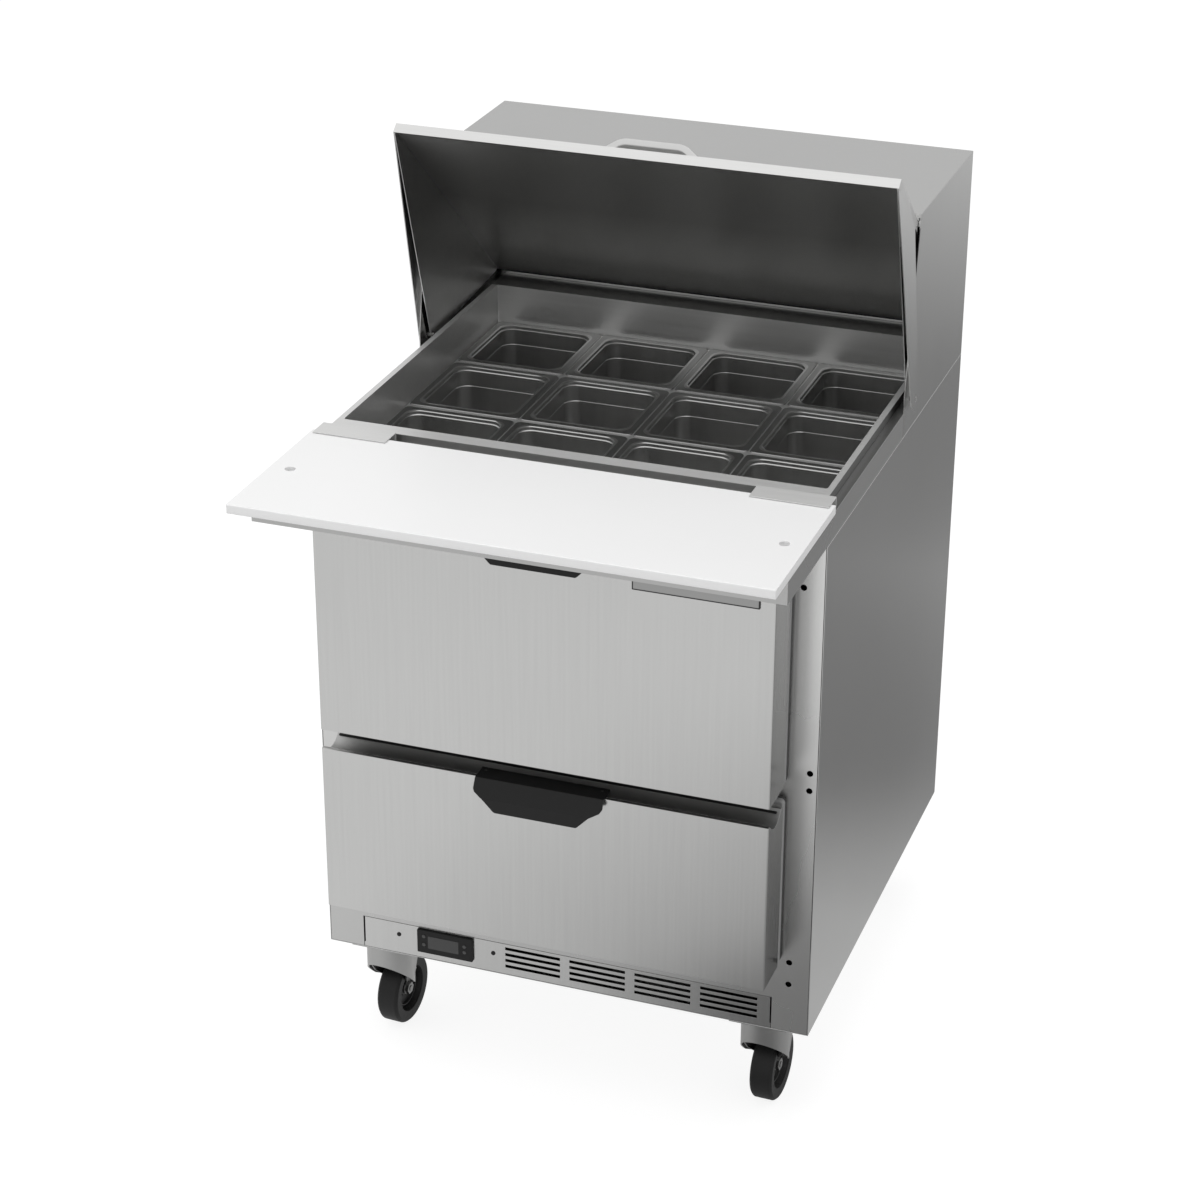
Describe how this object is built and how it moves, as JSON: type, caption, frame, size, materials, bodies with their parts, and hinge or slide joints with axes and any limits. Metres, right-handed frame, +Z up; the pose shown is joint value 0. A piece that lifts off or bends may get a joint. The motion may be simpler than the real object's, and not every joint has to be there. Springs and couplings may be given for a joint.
{
  "type": "sandwich prep table",
  "caption": "Refrigerated stainless prep table on casters with a lidded pan well, a white cutting board and stacked drawers.",
  "frame": {"origin": "on the floor under the middle of the bounding box", "axes": "+Z up, -Y towards the person at the board, +X to that person's right"},
  "size_m": [0.7064, 0.92, 1.2393],
  "materials": {
    "stainless": "brushed stainless sheet, vertical grain on the sides",
    "rack_steel": "plain stainless sheet",
    "pan_steel": "polished deep-drawn stainless",
    "liner_aluminium": "mill-finish aluminium sheet",
    "board_plastic": "white polyethylene with a fine texture",
    "black_plastic": "moulded black plastic",
    "gasket_rubber": "soft black magnetic gasket",
    "zinc_steel": "zinc-plated pressed steel",
    "wheel_rubber": "black caster tread",
    "black_paint": "satin black paint",
    "coil_fins": "bare aluminium fins"
  },
  "bodies": {
    "cabinet": {"cabinet_shell": "stainless", "face_frame": "stainless", "worktop": "stainless", "well_liner": "stainless", "hood": "stainless", "grille_panel": "stainless", "board_bracket_left": "stainless", "board_bracket_right": "stainless", "pan_rack": "rack_steel", "inner_liner": "liner_aluminium", "controller": "black_plastic", "slide_rail_upper_left": "zinc_steel", "slide_rail_upper_right": "zinc_steel", "slide_rail_lower_left": "zinc_steel", "slide_rail_lower_right": "zinc_steel", "pivot_pin_left": "zinc_steel", "pivot_pin_right": "zinc_steel", "caster_plate_front_left": "zinc_steel", "caster_plate_front_right": "zinc_steel", "caster_plate_rear_left": "zinc_steel", "caster_plate_rear_right": "zinc_steel", "compressor": "black_paint", "condenser_coil": "coil_fins", "evaporator_coil": "coil_fins"},
    "lid": {"lid": "stainless", "lid_handle": "stainless"},
    "drawer_upper": {"drawer_front_upper": "stainless", "drawer_back_upper": "liner_aluminium", "drawer_handle_upper": "black_plastic", "drawer_gasket_upper": "gasket_rubber", "drawer_frame_upper": "rack_steel", "badge_plate": "stainless"},
    "drawer_lower": {"drawer_front_lower": "stainless", "drawer_back_lower": "liner_aluminium", "drawer_handle_lower": "black_plastic", "drawer_gasket_lower": "gasket_rubber", "drawer_frame_lower": "rack_steel"},
    "board": {"cutting_board": "board_plastic"},
    "pan_front_1": {"pan_front_1": "pan_steel"},
    "pan_front_2": {"pan_front_2": "pan_steel"},
    "pan_front_3": {"pan_front_3": "pan_steel"},
    "pan_front_4": {"pan_front_4": "pan_steel"},
    "pan_middle_1": {"pan_middle_1": "pan_steel"},
    "pan_middle_2": {"pan_middle_2": "pan_steel"},
    "pan_middle_3": {"pan_middle_3": "pan_steel"},
    "pan_middle_4": {"pan_middle_4": "pan_steel"},
    "pan_rear_1": {"pan_rear_1": "pan_steel"},
    "pan_rear_2": {"pan_rear_2": "pan_steel"},
    "pan_rear_3": {"pan_rear_3": "pan_steel"},
    "pan_rear_4": {"pan_rear_4": "pan_steel"},
    "caster_front_left": {"caster_fork_front_left": "zinc_steel"},
    "wheel_front_left": {"caster_wheel_front_left": "wheel_rubber"},
    "caster_front_right": {"caster_fork_front_right": "zinc_steel"},
    "wheel_front_right": {"caster_wheel_front_right": "wheel_rubber"},
    "caster_rear_left": {"caster_fork_rear_left": "zinc_steel"},
    "wheel_rear_left": {"caster_wheel_rear_left": "wheel_rubber"},
    "caster_rear_right": {"caster_fork_rear_right": "zinc_steel"},
    "wheel_rear_right": {"caster_wheel_rear_right": "wheel_rubber"},
    "condenser_fan": {"condenser_fan": "black_plastic"},
    "evaporator_fan": {"evaporator_fan": "black_plastic"}
  },
  "joints": [
    {"name": "lid_hinge", "type": "hinge", "parent": "cabinet", "child": "lid", "pos_m": [0, 0.168, 0.909], "axis": [-1, 0, 0], "range_deg": [-69.5, 0]},
    {"name": "drawer_slide_upper", "type": "slide", "parent": "cabinet", "child": "drawer_upper", "axis": [0, -1, 0], "range_m": [0, 0.4]},
    {"name": "drawer_slide_lower", "type": "slide", "parent": "cabinet", "child": "drawer_lower", "axis": [0, -1, 0], "range_m": [0, 0.36]},
    {"name": "board_pull", "type": "slide", "parent": "cabinet", "child": "board", "axis": [0, -1, 0], "range_m": [0, 0.1]},
    {"name": "pan_lift_front_1", "type": "slide", "parent": "cabinet", "child": "pan_front_1", "axis": [0, 0, 1], "range_m": [0, 0.2]},
    {"name": "pan_lift_front_2", "type": "slide", "parent": "cabinet", "child": "pan_front_2", "axis": [0, 0, 1], "range_m": [0, 0.2]},
    {"name": "pan_lift_front_3", "type": "slide", "parent": "cabinet", "child": "pan_front_3", "axis": [0, 0, 1], "range_m": [0, 0.2]},
    {"name": "pan_lift_front_4", "type": "slide", "parent": "cabinet", "child": "pan_front_4", "axis": [0, 0, 1], "range_m": [0, 0.2]},
    {"name": "pan_lift_middle_1", "type": "slide", "parent": "cabinet", "child": "pan_middle_1", "axis": [0, 0, 1], "range_m": [0, 0.2]},
    {"name": "pan_lift_middle_2", "type": "slide", "parent": "cabinet", "child": "pan_middle_2", "axis": [0, 0, 1], "range_m": [0, 0.2]},
    {"name": "pan_lift_middle_3", "type": "slide", "parent": "cabinet", "child": "pan_middle_3", "axis": [0, 0, 1], "range_m": [0, 0.2]},
    {"name": "pan_lift_middle_4", "type": "slide", "parent": "cabinet", "child": "pan_middle_4", "axis": [0, 0, 1], "range_m": [0, 0.2]},
    {"name": "pan_lift_rear_1", "type": "slide", "parent": "cabinet", "child": "pan_rear_1", "axis": [0, 0, 1], "range_m": [0, 0.07]},
    {"name": "pan_lift_rear_2", "type": "slide", "parent": "cabinet", "child": "pan_rear_2", "axis": [0, 0, 1], "range_m": [0, 0.07]},
    {"name": "pan_lift_rear_3", "type": "slide", "parent": "cabinet", "child": "pan_rear_3", "axis": [0, 0, 1], "range_m": [0, 0.07]},
    {"name": "pan_lift_rear_4", "type": "slide", "parent": "cabinet", "child": "pan_rear_4", "axis": [0, 0, 1], "range_m": [0, 0.07]},
    {"name": "caster_swivel_front_left", "type": "hinge", "parent": "cabinet", "child": "caster_front_left", "pos_m": [-0.2727, -0.184, 0.147], "axis": [0, 0, 1], "continuous": true},
    {"name": "wheel_spin_front_left", "type": "hinge", "parent": "caster_front_left", "child": "wheel_front_left", "pos_m": [-0.27047, -0.15208, 0.05], "axis": [0.9976, -0.0698, 0], "continuous": true},
    {"name": "caster_swivel_front_right", "type": "hinge", "parent": "cabinet", "child": "caster_front_right", "pos_m": [0.2727, -0.184, 0.147], "axis": [0, 0, 1], "continuous": true},
    {"name": "wheel_spin_front_right", "type": "hinge", "parent": "caster_front_right", "child": "wheel_front_right", "pos_m": [0.27382, -0.15202, 0.05], "axis": [0.9994, -0.0349, 0], "continuous": true},
    {"name": "caster_swivel_rear_left", "type": "hinge", "parent": "cabinet", "child": "caster_rear_left", "pos_m": [-0.265, 0.376, 0.147], "axis": [0, 0, 1], "continuous": true},
    {"name": "wheel_spin_rear_left", "type": "hinge", "parent": "caster_rear_left", "child": "wheel_rear_left", "pos_m": [-0.265, 0.408, 0.05], "axis": [1, 0, 0], "continuous": true},
    {"name": "caster_swivel_rear_right", "type": "hinge", "parent": "cabinet", "child": "caster_rear_right", "pos_m": [0.265, 0.376, 0.147], "axis": [0, 0, 1], "continuous": true},
    {"name": "wheel_spin_rear_right", "type": "hinge", "parent": "caster_rear_right", "child": "wheel_rear_right", "pos_m": [0.265, 0.408, 0.05], "axis": [1, 0, 0], "continuous": true},
    {"name": "condenser_fan_spin", "type": "hinge", "parent": "cabinet", "child": "condenser_fan", "pos_m": [0.16, 0.317, 0.275], "axis": [0, 1, 0], "continuous": true},
    {"name": "evaporator_fan_spin", "type": "hinge", "parent": "cabinet", "child": "evaporator_fan", "pos_m": [0, 0.332, 0.527], "axis": [0, 1, 0], "continuous": true}
  ]
}
